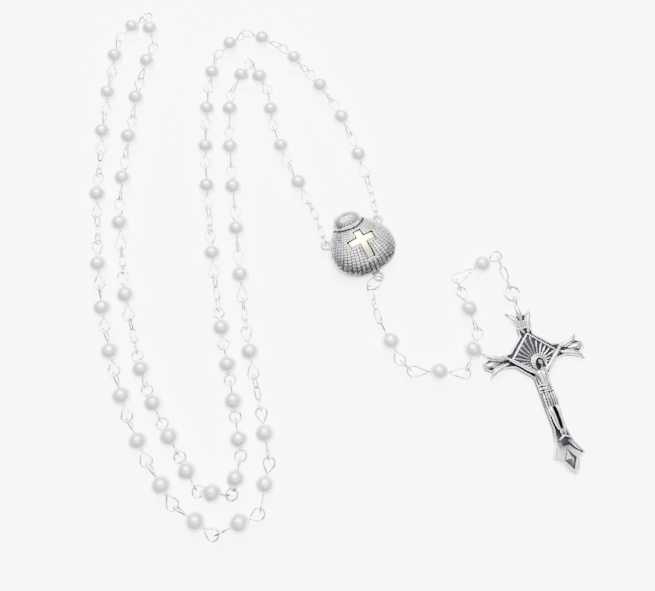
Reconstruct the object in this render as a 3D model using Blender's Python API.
"""A five-decade rosary lying flat in a doubled loop: pearl beads on wire eye pins, short lengths of
chain, a shell locket as the centrepiece, a five-bead pendant and a crucifix.

The design is in millimetres. Objects are made in metres, +Z up, resting on z = 0.
Two beads that follow each other on the loop share a node, and so do the links of one length of chain.
"""

import math

import bmesh
import bpy
from mathutils import Matrix, Vector

METRES = 0.001

# Beads, eye pins and chain
BEAD_RADIUS = 3.0
BEAD_HOLE_RADIUS = 0.65
PIN_WIRE = 0.32
LINK_WIRE = 0.30
WIRE_SIDES = 4
EYE_ROUND = 1.2
EYE_ROOT = 0.36
EYE_ROOT_DEPTH = 0.7
BEAD_TO_EYE = 0.65
LINK_HALF_WIDTH = 1.05
FUSED_OVERLAP = 0.4
CHAIN_REACH = 25.0
CHAIN_LINKS = 3
LUG_CHAIN_LINKS = 5
CHAIN_SAG = 0.8
OUR_FATHER_REACH = 7.0
BEADS_IN_A_DECADE = 10
BEADS_ON_PENDANT = 5

# Locket centrepiece
LOCKET_CENTRE = Vector((10.4, 16.6, 0.0))
LOCKET_TURN = math.radians(28.5)
LOCKET_SEAM = 3.4
SEAM_GAP = 0.3
LOCKET_WALL_SHARE = 0.89
DOME_HEIGHT = 4.9
DOME_INNER_HEIGHT = 3.2
LUG_ROUND = 1.35
LUG_WIRE = 0.4
LUG_Z = 2.8
SIDE_LUG = (9.5, 5.5)
BOTTOM_LUG = (0.0, -11.7)
HINGE_Y = 11.3
HINGE_Z = 3.55
HINGE_PIN = 0.45
HINGE_HOLE = 0.75
HINGE_BARREL = 1.1
CROSS_TOP = 3.1
CROSS_FOOT = -6.4
CROSS_ARM = 4.3
CROSS_BAR = 1.15
CROSS_BEAM_Y = -0.3
JUMP_RING_ROUND = 2.7
JUMP_RING_TILT = math.radians(60.0)

# Crucifix
CRUCIFIX_CENTRE = Vector((61.8, -18.6, 0.0))
CRUCIFIX_TURN = math.radians(13.0)
CRUCIFIX_THICKNESS = 1.7
BAIL_Y = 17.9
BAIL_Z = 1.7
BAIL_ROUND = 1.25
BAIL_WIRE = 0.42
CRUCIFIX_RING_ROUND = 2.3
CRUCIFIX_RING_WIRE = 0.42

# The loop's route, from the locket's right lug round to its left lug, one stretch to each decade.
# An Our Father bead stands at the end of every stretch but the last.
ROUTE = [
    [(14, 38), (10, 51), (5, 66), (-3, 79), (-12, 91), (-21, 99.5), (-29, 102.5), (-37, 98.5),
     (-41, 88), (-42, 72), (-41.5, 56), (-40, 40), (-36.5, 14)],
    [(-32, -11), (-28.8, -25), (-26.2, -38), (-24.2, -49), (-25.2, -57.5), (-32.5, -60),
     (-38.5, -53.8), (-43, -45), (-49.6, -35), (-55.4, -22), (-62.2, 0)],
    [(-67, 25), (-68, 41), (-67.5, 57), (-67, 73), (-65.5, 89), (-62, 101), (-65.8, 110),
     (-74.3, 107.5), (-76.5, 93), (-77, 78), (-77, 62), (-75.5, 35)],
    [(-71.5, 8), (-68.2, -7), (-64, -20), (-58.8, -34), (-52, -47), (-44, -58.8), (-34, -67.8),
     (-22.5, -67.3), (-16, -57.5), (-17.4, -43), (-23.2, -18)],
    [(-27, 5), (-29, 21), (-31, 37), (-33, 53), (-34, 69), (-33, 82), (-27.5, 89), (-22, 83),
     (-20, 68), (-16.5, 54), (-10, 40), (-4, 28)],
]

# The pendant's joints, from the jump ring down to the crucifix ring
PENDANT_JOINTS = [
    (13.1, 1.9), (15.6, -7.9), (21.6, -20.6), (24.7, -23.7), (40.8, -24.3), (45.2, -11.6),
    (41.2, 1.4), (39.9, 5.4), (53.6, 13.2),
]
LAST_BEAD_SHARE = 0.6

# How far the whole layout moves so that its box is centred on the origin
LAYOUT_SHIFT = Vector((1.4, -21.06, 0.0))

PEARL = ("pearl", (0.89, 0.86, 0.90, 1.0), 0.18, 0.0)
SILVER = ("silver_wire", (0.90, 0.89, 0.87, 1.0), 0.2, 1.0)
ANTIQUE = ("antique_silver", (0.55, 0.54, 0.55, 1.0), 0.32, 1.0)
PALE_GOLD = ("pale_gold", (0.93, 0.88, 0.66, 1.0), 0.25, 1.0)


# ---------------------------------------------------------------- closed shapes, in millimetres

def tube(path, radius, normal, closed=False, sides=WIRE_SIDES):
    """A wire along a flat path; normal is the direction square to the path's plane."""
    mesh = bmesh.new()
    count = len(path)
    rings = []
    for i, point in enumerate(path):
        before = path[i - 1] if closed or i > 0 else point
        after = path[(i + 1) % count] if closed or i < count - 1 else point
        side = normal.cross(after - before).normalized()
        ring = []
        for k in range(sides):
            angle = 2 * math.pi * k / sides
            offset = math.cos(angle) * side + math.sin(angle) * normal
            ring.append(mesh.verts.new(point + radius * offset))
        rings.append(ring)
    for i in range(count if closed else count - 1):
        bridge(mesh, rings[i], rings[(i + 1) % count])
    if not closed:
        mesh.faces.new(rings[0])
        mesh.faces.new(rings[-1])
    bmesh.ops.recalc_face_normals(mesh, faces=mesh.faces)
    return mesh


def bridge(mesh, ring, following):
    """Joins two rings of the same number of points with a band of faces."""
    for k in range(len(ring)):
        n = (k + 1) % len(ring)
        mesh.faces.new((ring[k], ring[n], following[n], following[k]))


def lofted(rings, closed=False):
    """A closed skin over rings of points, with flat ends or joined end to end."""
    mesh = bmesh.new()
    made = [[mesh.verts.new(point) for point in ring] for ring in rings]
    for i in range(len(made) - 1):
        bridge(mesh, made[i], made[i + 1])
    if closed:
        bridge(mesh, made[-1], made[0])
    else:
        mesh.faces.new(made[0])
        mesh.faces.new(made[-1])
    bmesh.ops.recalc_face_normals(mesh, faces=mesh.faces)
    return mesh


def ball(radii, segments=8, rings=6):
    """An ellipsoid at the origin."""
    mesh = bmesh.new()
    bmesh.ops.create_uvsphere(mesh, u_segments=segments, v_segments=rings, radius=1.0)
    bmesh.ops.transform(mesh, matrix=Matrix.Diagonal((*radii, 1.0)), verts=mesh.verts)
    return mesh


def prism(outline, low, high):
    """An outline in X and Y, extruded from one height to another."""
    return lofted([[Vector((x, y, z)) for x, y in outline] for z in (low, high)])


def circle(radius, count):
    return [
        (radius * math.cos(2 * math.pi * k / count), radius * math.sin(2 * math.pi * k / count))
        for k in range(count)
    ]


def ring_shape(radius, wire, count=12, sides=5):
    """A round ring of wire lying in X and Y."""
    path = [Vector((x, y, 0)) for x, y in circle(radius, count)]
    return tube(path, wire, Vector((0, 0, 1)), closed=True, sides=sides)


def moved(mesh, matrix):
    bmesh.ops.transform(mesh, matrix=matrix, verts=mesh.verts)
    return mesh


def temporary(mesh, name="temporary"):
    data = bpy.data.meshes.new(name)
    bmesh.ops.triangulate(mesh, faces=mesh.faces)
    mesh.to_mesh(data)
    mesh.free()
    thing = bpy.data.objects.new(name, data)
    bpy.context.scene.collection.objects.link(thing)
    return thing


def combined(base, others, operation="UNION"):
    """The first shape joined with, or cut by, the others: one closed mesh."""
    things = [temporary(mesh) for mesh in (base, *others)]
    for other in things[1:]:
        step = things[0].modifiers.new(operation, "BOOLEAN")
        step.operation = operation
        step.solver = "MANIFOLD"
        step.object = other
    depsgraph = bpy.context.evaluated_depsgraph_get()
    result = bmesh.new()
    result.from_object(things[0], depsgraph)
    for thing in things:
        data = thing.data
        bpy.data.objects.remove(thing)
        bpy.data.meshes.remove(data)
    bmesh.ops.remove_doubles(result, verts=result.verts, dist=0.0005)
    return result


# ---------------------------------------------------------------- objects, in metres

def material(look):
    name, colour, roughness, metallic = look
    made = bpy.data.materials.get(name)
    if made is None:
        made = bpy.data.materials.new(name)
        made.use_nodes = True
        shader = made.node_tree.nodes["Principled BSDF"]
        shader.inputs["Base Color"].default_value = colour
        shader.inputs["Roughness"].default_value = roughness
        shader.inputs["Metallic"].default_value = metallic
    return made


def add_node(name, mesh, look, origin, smooth=True):
    """Makes the object of one node, with its origin on its joint's axis."""
    moved(mesh, Matrix.Scale(METRES, 4) @ Matrix.Translation(-origin))
    data = bpy.data.meshes.new(name)
    mesh.to_mesh(data)
    mesh.free()
    if smooth:
        data.shade_smooth()
        data.set_sharp_from_angle(angle=math.radians(50))
    data.materials.append(material(look))
    thing = bpy.data.objects.new(name, data)
    thing.location = (origin + LAYOUT_SHIFT) * METRES
    bpy.context.scene.collection.objects.link(thing)
    return thing


# ---------------------------------------------------------------- the loop's route

def smooth_curve(points, steps=12):
    """Points on a Catmull-Rom curve through the route's own points."""
    padded = [2 * points[0] - points[1], *points, 2 * points[-1] - points[-2]]
    curve = []
    for i in range(1, len(padded) - 2):
        a, b, c, d = padded[i - 1:i + 3]
        for k in range(steps):
            t = k / steps
            curve.append(0.5 * (
                2 * b + (c - a) * t + (2 * a - 5 * b + 4 * c - d) * t * t
                + (3 * b - a - 3 * c + d) * t ** 3
            ))
    curve.append(points[-1])
    return curve


class Route:
    """A smooth line that can be asked for the point at a distance along it."""

    def __init__(self, points):
        self.points = smooth_curve(points)
        self.distances = [0.0]
        for before, after in zip(self.points, self.points[1:]):
            self.distances.append(self.distances[-1] + (after - before).length)

    def at(self, distance):
        for i in range(1, len(self.points)):
            if self.distances[i] >= distance or i == len(self.points) - 1:
                span = self.distances[i] - self.distances[i - 1]
                share = (distance - self.distances[i - 1]) / span
                return self.points[i - 1].lerp(self.points[i], share)

    def distance_to(self, point):
        nearest = min(range(len(self.points)), key=lambda i: (self.points[i] - point).length)
        return self.distances[nearest]


def locket_point(x, y, z=0.0):
    return LOCKET_CENTRE + Matrix.Rotation(LOCKET_TURN, 3, "Z") @ Vector((x, y, z))


def crucifix_point(x, y, z=0.0):
    return CRUCIFIX_CENTRE + Matrix.Rotation(CRUCIFIX_TURN, 3, "Z") @ Vector((x, y, z))


def at_height(point, z):
    return Vector((point[0], point[1], z))


def loop_joints():
    """The joints of the loop in order, as (kind, joints): a decade, a chain or an Our Father link."""
    right = locket_point(*SIDE_LUG, LUG_Z)
    left = locket_point(-SIDE_LUG[0], SIDE_LUG[1], LUG_Z)
    route_points = [at_height(right, BEAD_RADIUS)]
    ends = []
    for stretch in ROUTE:
        route_points += [at_height(point, BEAD_RADIUS) for point in stretch]
        ends.append(route_points[-1])
    route_points.append(at_height(left, BEAD_RADIUS))
    route = Route(route_points)
    stations = [0.0] + [route.distance_to(end) for end in ends[:-1]] + [route.distances[-1]]
    pieces = []
    for decade in range(len(ROUTE)):
        starts_at_lug = decade == 0
        ends_at_lug = decade == len(ROUTE) - 1
        first_bead = stations[decade] + CHAIN_REACH
        last_bead = stations[decade + 1] - CHAIN_REACH
        pitch = (last_bead - first_bead) / (BEADS_IN_A_DECADE - 1)
        begin = stations[decade] + (0.0 if starts_at_lug else OUR_FATHER_REACH)
        finish = stations[decade + 1] - (0.0 if ends_at_lug else OUR_FATHER_REACH)
        first, last = first_bead - pitch / 2, last_bead + pitch / 2
        pieces.append(("chain", chain_joints(route, begin, first, right if starts_at_lug else None)))
        beads = [route.at(first + pitch * k) for k in range(BEADS_IN_A_DECADE + 1)]
        pieces.append(("decade", beads))
        pieces.append(("chain", chain_joints(route, last, finish, None, left if ends_at_lug else None)))
        if not ends_at_lug:
            station = stations[decade + 1]
            reach = OUR_FATHER_REACH
            pieces.append(("our_father", [route.at(station - reach), route.at(station + reach)]))
    return pieces


def chain_joints(route, begin, finish, start=None, end=None):
    """The joints of a short length of chain, which sags a little between its ends."""
    joints = []
    links = CHAIN_LINKS if start is None and end is None else LUG_CHAIN_LINKS
    for k in range(links + 1):
        point = route.at(begin + (finish - begin) * k / links)
        joints.append(at_height(point, BEAD_RADIUS - (CHAIN_SAG if 0 < k < links else 0.0)))
    if start is not None:
        joints[0] = start
    if end is not None:
        joints[-1] = end
    return joints


# ---------------------------------------------------------------- pins, links and beads

def flat_normal(along, upright):
    """The normal of a loop that lies flat, or of one that stands upright, on a link's line."""
    sideways = Vector((0, 0, 1)).cross(along).normalized()
    return sideways if upright else along.cross(sideways).normalized()


def eye(root, tip, upright):
    """The open wire loop at one end of a pin, from its root out to its tip and back."""
    along = (tip - root).normalized()
    normal = flat_normal(along, upright)
    side = normal.cross(along)
    centre = tip - along * EYE_ROUND
    path = [root + side * EYE_ROOT]
    for degrees in (90, 45, 0, -45, -90):
        angle = math.radians(degrees)
        path.append(centre + EYE_ROUND * (math.cos(angle) * along + math.sin(angle) * side))
    path.append(root - side * EYE_ROOT)
    return tube(path, PIN_WIRE, normal)


def small_link(start, end, upright):
    """A closed oval link of the chain between the middles of its two ends."""
    along = (end - start).normalized()
    normal = flat_normal(along, upright)
    side = normal.cross(along)
    path = []
    for base, way in ((start, 1), (end, -1)):
        turn = [(0.0, 0.45), (0.6, LINK_HALF_WIDTH)]
        points = [base + along * way * x + side * way * y for x, y in turn]
        mirrored = [base + along * way * x - side * way * y for x, y in reversed(turn)]
        path += mirrored + points
    return tube(path, LINK_WIRE, normal, closed=True)


def bead_frame(centre, along):
    """Places a shape that was made along X at a bead's centre."""
    sideways = Vector((0, 0, 1)).cross(along).normalized()
    upward = along.cross(sideways)
    turn = Matrix((along, sideways, upward)).transposed().to_4x4()
    return Matrix.Translation(centre) @ turn


def tip_of(joint, along, upright, fused):
    """Where an eye's tip lies: an upright eye ends at the joint and a flat one passes it."""
    if upright:
        return joint
    return joint + along * (FUSED_OVERLAP if fused else EYE_ROUND)


def link_line(start, end, uprights, fused=(False, False)):
    """A pin's direction and its two eye tips."""
    along = (end - start).normalized()
    tips = (tip_of(start, -along, uprights[0], fused[0]), tip_of(end, along, uprights[1], fused[1]))
    return along, tips


def bead_link(start, end, uprights, fused=(False, False)):
    """The shapes of one bead with an eye at each side of it."""
    along, tips = link_line(start, end, uprights, fused)
    centre = (tips[0] + tips[1]) / 2
    inside = BEAD_RADIUS - EYE_ROOT_DEPTH
    return [
        moved(ball((BEAD_RADIUS,) * 3), bead_frame(centre, along)),
        eye(centre - along * inside, tips[0], uprights[0]),
        eye(centre + along * inside, tips[1], uprights[1]),
    ]


def chain_length(joints, first_upright):
    """The shapes of a length of chain, whose links touch where they pass through each other."""
    shapes = []
    last = len(joints) - 2
    for k in range(len(joints) - 1):
        upright = first_upright == (k % 2 == 0)
        along = (joints[k + 1] - joints[k]).normalized()
        start = tip_of(joints[k], -along, upright, k > 0)
        end = tip_of(joints[k + 1], along, upright, k < last)
        shapes.append(small_link(start, end, upright))
    return shapes


def loose_bead():
    """A bead with its hole along X, as a turned profile."""
    half_hole = math.sqrt(BEAD_RADIUS ** 2 - BEAD_HOLE_RADIUS ** 2)
    start = math.atan2(BEAD_HOLE_RADIUS, -half_hole)
    end = math.atan2(BEAD_HOLE_RADIUS, half_hole)
    rings = []
    for k in range(7):
        angle = start + (end - start) * k / 6
        radius, x = BEAD_RADIUS * math.sin(angle), BEAD_RADIUS * math.cos(angle)
        rings.append([Vector((x, y, z)) for y, z in circle(radius, 12)])
    return lofted(rings, closed=True)


def loose_pin(centre, along, tips, uprights):
    """A pendant bead's eye pin: a straight wire through the bead and an eye at each end."""
    reach = BEAD_RADIUS + BEAD_TO_EYE
    normal = flat_normal(along, False)
    wire = tube([centre - along * reach, centre + along * reach], PIN_WIRE, normal, sides=6)
    eyes = []
    for way, tip, upright in ((-1, tips[0], uprights[0]), (1, tips[1], uprights[1])):
        eyes.append(eye(centre + along * way * (reach - 0.2), tip, upright))
    return combined(wire, eyes)


# ---------------------------------------------------------------- the loop and the pendant

def build_loop():
    """Every node of the loop, in order, with the joint at each of its two ends."""
    order = []
    decade = 0
    chain = 0
    for kind, joints in loop_joints():
        if kind == "decade":
            decade += 1
            for first in range(0, BEADS_IN_A_DECADE, 2):
                shapes = []
                for k in (first, first + 1):
                    uprights = (k > 0, False)
                    fused = (k > first, k == first)
                    shapes += bead_link(joints[k], joints[k + 1], uprights, fused)
                name = f"decade_{decade}_beads_{first + 1}_{first + 2}"
                order.append((name, shapes, joints[first], joints[first + 2], PEARL))
        elif kind == "chain":
            chain += 1
            shapes = chain_length(joints, True)
            order.append((f"chain_{chain}", shapes, joints[0], joints[-1], SILVER))
        else:
            shapes = bead_link(joints[0], joints[1], (False, False))
            order.append((f"our_father_bead_{decade}", shapes, joints[0], joints[1], PEARL))
    nodes = []
    for name, shapes, start, end, look in order:
        nodes.append((name, combined(shapes[0], shapes[1:]), start, end, look))
    return nodes


def pendant_beads():
    """Each pendant bead as (joints, uprights); the last bead sits nearer its far joint."""
    joints = [at_height(point, BEAD_RADIUS) for point in PENDANT_JOINTS]
    return [
        (joints[1], joints[2], (True, False)),
        (joints[3], joints[4], (False, False)),
        (joints[4], joints[5], (True, False)),
        (joints[5], joints[6], (True, False)),
        (joints[7], joints[8], (False, False)),
    ]


def pendant_chains():
    """Each length of chain on the pendant as (joints, first link upright)."""
    joints = [at_height(point, BEAD_RADIUS) for point in PENDANT_JOINTS]
    ring_edge = BAIL_Y + 2 * CRUCIFIX_RING_ROUND - EYE_ROUND
    ring_joint = crucifix_point(0, ring_edge, BAIL_Z)
    return [
        (spaced(joints[0], joints[1], CHAIN_LINKS), False),
        ([joints[2], joints[3]], True),
        ([joints[6], joints[7]], True),
        (spaced(joints[8], ring_joint, CHAIN_LINKS), True),
    ]


def spaced(start, end, count):
    return [start.lerp(end, k / count) for k in range(count + 1)]


def build_pendant():
    """The pendant's nodes: its lengths of chain, and each bead on its pin."""
    nodes = []
    for number, (joints, upright) in enumerate(pendant_chains(), start=1):
        shapes = chain_length(joints, upright)
        body = combined(shapes[0], shapes[1:]) if len(shapes) > 1 else shapes[0]
        nodes.append((f"pendant_chain_{number}", body, joints[0], SILVER))
    for number, (start, end, uprights) in enumerate(pendant_beads(), start=1):
        along, tips = link_line(start, end, uprights)
        share = LAST_BEAD_SHARE if number == BEADS_ON_PENDANT else 0.5
        centre = tips[0].lerp(tips[1], share)
        pin = loose_pin(centre, along, tips, uprights)
        nodes.append((f"pendant_pin_{number}", pin, start, SILVER))
        bead = moved(loose_bead(), bead_frame(centre, along))
        nodes.append((f"pendant_bead_{number}", bead, centre, PEARL))
    return nodes


# ---------------------------------------------------------------- the locket

def locket_outline(count=32):
    """The scallop's edge, from the middle of the hinge side round to it again."""
    half = [(0, 9.8), (3.3, 9.6), (6.6, 7.2), (9.6, 3.2), (10.9, -1.2), (9.9, -5.6), (6.4, -9.0),
            (0, -10.4)]
    points = [Vector((x, y, 0)) for x, y in half]
    points += [Vector((-x, y, 0)) for x, y in reversed(half[1:-1])]
    looped = Route([points[-1], *points, points[0], points[1]])
    begin = (points[0] - points[-1]).length
    finish = looped.distances[-1] - (points[1] - points[0]).length
    return [looped.at(begin + (finish - begin) * k / count) for k in range(count)]


def edge_share(x, y):
    """How far out a point lies, from 0 at the locket's middle to 1 at its edge."""
    angle = math.atan2(y, x)
    outline = locket_outline()
    nearest = min(outline, key=lambda p: abs(math.remainder(math.atan2(p.y, p.x) - angle, 2 * math.pi)))
    return math.hypot(x, y) / nearest.length


def dome_z(share):
    return LOCKET_SEAM + SEAM_GAP + DOME_HEIGHT * math.sqrt(max(0.0, 1 - share * share))


def outline_ring(share, z):
    return [Vector((p.x * share, p.y * share, z)) for p in locket_outline()]


def back_shell():
    floor, wall = 1.0, LOCKET_WALL_SHARE
    profile = [(0.80, 0.0), (0.95, 0.9), (1.0, 2.2), (1.0, LOCKET_SEAM), (wall, LOCKET_SEAM),
               (wall - 0.04, 1.7), (0.70, floor)]
    tray = lofted([outline_ring(share, z) for share, z in profile])
    extras = []
    for x, y in (SIDE_LUG, (-SIDE_LUG[0], SIDE_LUG[1]), BOTTOM_LUG):
        lug = ring_shape(LUG_ROUND, LUG_WIRE, count=10, sides=4)
        extras.append(moved(lug, Matrix.Translation((x, y, LUG_Z))))
    for side in (-1, 1):
        extras.append(knuckle(side * 2.25, 1.8, HINGE_Z - HINGE_BARREL, LOCKET_SEAM - 0.1))
    return bored(combined(tray, extras))


def knuckle(x, width, low, high):
    """A hinge barrel with the arm that joins it to its shell."""
    turn = Matrix.Rotation(math.pi / 2, 4, "Y")
    barrel = moved(prism(circle(HINGE_BARREL, 10), -width / 2, width / 2), turn)
    barrel = moved(barrel, Matrix.Translation((x, HINGE_Y, HINGE_Z)))
    half = width / 2
    arm = prism([(x - half, 8.9), (x + half, 8.9), (x + half, HINGE_Y), (x - half, HINGE_Y)], low, high)
    return combined(barrel, [arm])


def bored(shell):
    turn = Matrix.Rotation(math.pi / 2, 4, "Y")
    drill = moved(prism(circle(HINGE_HOLE, 8), -5, 5), turn)
    return combined(shell, [moved(drill, Matrix.Translation((0, HINGE_Y, HINGE_Z)))], "DIFFERENCE")


def front_shell():
    seam = LOCKET_SEAM + SEAM_GAP
    outer = [(0.985, seam), (0.97, dome_z(0.97))]
    outer += [(share, dome_z(share)) for share in (0.88, 0.7, 0.45, 0.2)]
    inner_height = DOME_INNER_HEIGHT
    inner = [(share * LOCKET_WALL_SHARE, seam + inner_height * math.sqrt(1 - share * share))
             for share in (0.25, 0.6, 0.9)]
    inner.append((LOCKET_WALL_SHARE, seam))
    outer_skin = [outline_ring(share, z) for share, z in outer]
    inner_skin = [outline_ring(share, z) for share, z in inner]
    shell = lidded(outer_skin, inner_skin)
    umbo = moved(ball((4.4, 2.6, 2.9), segments=10, rings=8), Matrix.Translation((0, 7.2, 5.2)))
    floor = prism([(-8, 2), (8, 2), (8, 12), (-8, 12)], -1, seam)
    umbo = combined(umbo, [floor], "DIFFERENCE")
    shell = combined(shell, [umbo, knuckle(0.0, 2.1, seam + 0.05, HINGE_Z + HINGE_BARREL)])
    shell = bored(shell)
    return combined(shell, [inlay_shape(0.3, -1.15, 4.0)], "DIFFERENCE")


def lidded(outer_skin, inner_skin):
    """A dome with an inside: the outer skin down to the rim and the inner skin up from it."""
    mesh = bmesh.new()
    outer = [[mesh.verts.new(p) for p in ring] for ring in reversed(outer_skin)]
    inner = [[mesh.verts.new(p) for p in ring] for ring in reversed(inner_skin)]
    rings = outer + inner
    for i in range(len(rings) - 1):
        bridge(mesh, rings[i], rings[i + 1])
    mesh.faces.new(rings[0])
    mesh.faces.new(rings[-1])
    bmesh.ops.recalc_face_normals(mesh, faces=mesh.faces)
    return mesh


def inlay_shape(margin, bottom, top):
    """The Latin cross on the lid, bent to the dome: bottom and top are heights above it."""
    bar, arm = CROSS_BAR + margin, CROSS_ARM + margin
    columns = (-arm, -bar, bar, arm)
    rows = (CROSS_FOOT - margin, -3.6, CROSS_BEAM_Y - bar, CROSS_BEAM_Y + bar, CROSS_TOP + margin)
    mesh = bmesh.new()
    corners = {}

    def corner(i, j, height):
        if (i, j, height) not in corners:
            x, y = columns[i], rows[j]
            corners[i, j, height] = mesh.verts.new((x, y, dome_z(edge_share(x, y)) + height))
        return corners[i, j, height]

    cells = [(1, 0), (1, 1), (1, 2), (1, 3), (0, 2), (2, 2)]
    for i, j in cells:
        loop = [(i, j), (i + 1, j), (i + 1, j + 1), (i, j + 1)]
        mesh.faces.new([corner(a, b, top) for a, b in loop])
        mesh.faces.new([corner(a, b, bottom) for a, b in reversed(loop)])
        for (a, b), (c, d), neighbour in zip(
            loop, loop[1:] + loop[:1], ((i, j - 1), (i + 1, j), (i, j + 1), (i - 1, j))
        ):
            if neighbour not in cells:
                mesh.faces.new([corner(a, b, bottom), corner(c, d, bottom), corner(c, d, top),
                                corner(a, b, top)])
    bmesh.ops.recalc_face_normals(mesh, faces=mesh.faces)
    return mesh


def build_locket():
    place = Matrix.Translation(LOCKET_CENTRE) @ Matrix.Rotation(LOCKET_TURN, 4, "Z")
    hinge = locket_point(0, HINGE_Y, HINGE_Z)
    turn = Matrix.Translation((0, HINGE_Y, HINGE_Z)) @ Matrix.Rotation(math.pi / 2, 4, "Y")
    pin = moved(prism(circle(HINGE_PIN, 8), -3.3, 3.3), turn)
    add_node("locket_back_shell", moved(back_shell(), place), ANTIQUE, locket_point(0, 0))
    add_node("locket_front_shell", moved(front_shell(), place), ANTIQUE, hinge)
    add_node("locket_hinge_pin", moved(pin, place), SILVER, hinge)
    add_node("locket_cross_inlay", moved(inlay_shape(0.0, -0.8, 0.0), place), PALE_GOLD, hinge)
    along = (at_height(PENDANT_JOINTS[0], LUG_Z) - locket_point(*BOTTOM_LUG, LUG_Z)).normalized()
    centre = locket_point(*BOTTOM_LUG, LUG_Z) + along * (JUMP_RING_ROUND - 0.1)
    ring = ring_shape(JUMP_RING_ROUND, PIN_WIRE)
    tilt = Matrix.Rotation(JUMP_RING_TILT, 4, along)
    ring = moved(ring, Matrix.Translation(centre) @ tilt)
    add_node("pendant_jump_ring", ring, SILVER, locket_point(*BOTTOM_LUG, LUG_Z))


# ---------------------------------------------------------------- the crucifix

def crucifix_outline():
    """The cross's edge: three flared arms and the long foot, each half mirrored on its own line."""
    top = [(2.2, 6.6), (2.1, 9.4), (2.6, 11.8), (4.0, 14.6), (1.6, 13.2)]
    arm = [(6.6, 2.4), (9.4, 2.0), (12.2, 2.7), (14.8, 4.1), (13.6, 2.2), (15.6, 1.0)]
    foot = [(2.3, -6.6), (2.2, -14.0), (2.0, -22.0), (2.9, -26.4), (4.8, -29.8), (2.7, -31.2),
            (1.5, -34.0), (0.0, -35.1)]
    right = list(reversed(top)) + [(x, y) for x, y in arm]
    right += [(x, -y) for x, y in reversed(arm)] + foot
    left = [(-x, y) for x, y in reversed(right) if x > 0]
    return right + left


def tapered(start, end, start_radius, end_radius, sides=6):
    """A limb: a round bar that narrows from one end to the other."""
    along = (end - start).normalized()
    frame = bead_frame(start, along)
    reach = (end - start).length
    rings = []
    for x, radius in ((0, start_radius), (reach, end_radius)):
        rings.append([frame @ Vector((x, y, z)) for y, z in circle(radius, sides)])
    return lofted(rings)


def figure():
    """The figure on the cross in plain closed shapes."""
    top = CRUCIFIX_THICKNESS
    shapes = [
        moved(ball((1.0, 1.3, 1.05)), Matrix.Translation((0.5, -2.7, top + 1.5))),
        moved(ball((1.75, 3.4, 1.2)), Matrix.Translation((0.0, -7.4, top + 0.6))),
        moved(ball((1.7, 2.6, 1.15)), Matrix.Translation((0.1, -11.6, top + 0.6))),
        tapered(Vector((0.1, -12.5, top + 0.6)), Vector((0.3, -22.4, top + 0.5)), 1.25, 0.75),
        tapered(Vector((0.3, -22.0, top + 0.5)), Vector((0.3, -24.0, top + 0.1)), 0.8, 0.6),
    ]
    for side in (-1, 1):
        shoulder, hand = Vector((side * 1.4, -4.9, top + 0.6)), Vector((side * 8.8, 1.2, top + 0.3))
        shapes.append(tapered(shoulder, hand, 0.75, 0.5))
    return shapes


def build_crucifix():
    place = Matrix.Translation(CRUCIFIX_CENTRE) @ Matrix.Rotation(CRUCIFIX_TURN, 4, "Z")
    cross = prism(crucifix_outline(), 0.0, CRUCIFIX_THICKNESS)
    rays = prism([(6.8, 0), (0, 6.8), (-6.8, 0), (0, -6.8)], 0.4, CRUCIFIX_THICKNESS + 0.5)
    halo = moved(prism(circle(2.3, 10), 0.4, CRUCIFIX_THICKNESS + 0.8), Matrix.Translation((0.4, -2.4, 0)))
    plaque = prism([(-2.4, 8.6), (2.4, 8.6), (2.4, 11.0), (-2.4, 11.0)], 0.4, CRUCIFIX_THICKNESS + 0.5)
    drop = tapered(Vector((0, 11.6, 0.95)), Vector((0, 17.0, 1.3)), 0.9, 0.8)
    upright = Matrix.Translation((0, BAIL_Y, BAIL_Z)) @ Matrix.Rotation(math.pi / 2, 4, "Y")
    bail = moved(ring_shape(BAIL_ROUND, BAIL_WIRE, count=10, sides=4), upright)
    body = combined(cross, [rays, halo, plaque, drop, bail, *figure()])
    bail_axis = crucifix_point(0, BAIL_Y, BAIL_Z)
    add_node("crucifix", moved(body, place), ANTIQUE, bail_axis)
    ring = ring_shape(CRUCIFIX_RING_ROUND, CRUCIFIX_RING_WIRE)
    centre = Matrix.Translation((0, BAIL_Y + CRUCIFIX_RING_ROUND, BAIL_Z))
    ring_joint = crucifix_point(0, BAIL_Y + 2 * CRUCIFIX_RING_ROUND, BAIL_Z)
    add_node("crucifix_ring", moved(ring, place @ centre), SILVER, ring_joint)


# ---------------------------------------------------------------- everything

def clear_scene():
    for thing in list(bpy.data.objects):
        bpy.data.objects.remove(thing, do_unlink=True)


def build():
    clear_scene()
    build_locket()
    for name, mesh, start, end, look in build_loop():
        add_node(name, mesh, look, start)
    for name, mesh, origin, look in build_pendant():
        add_node(name, mesh, look, origin)
    build_crucifix()


build()
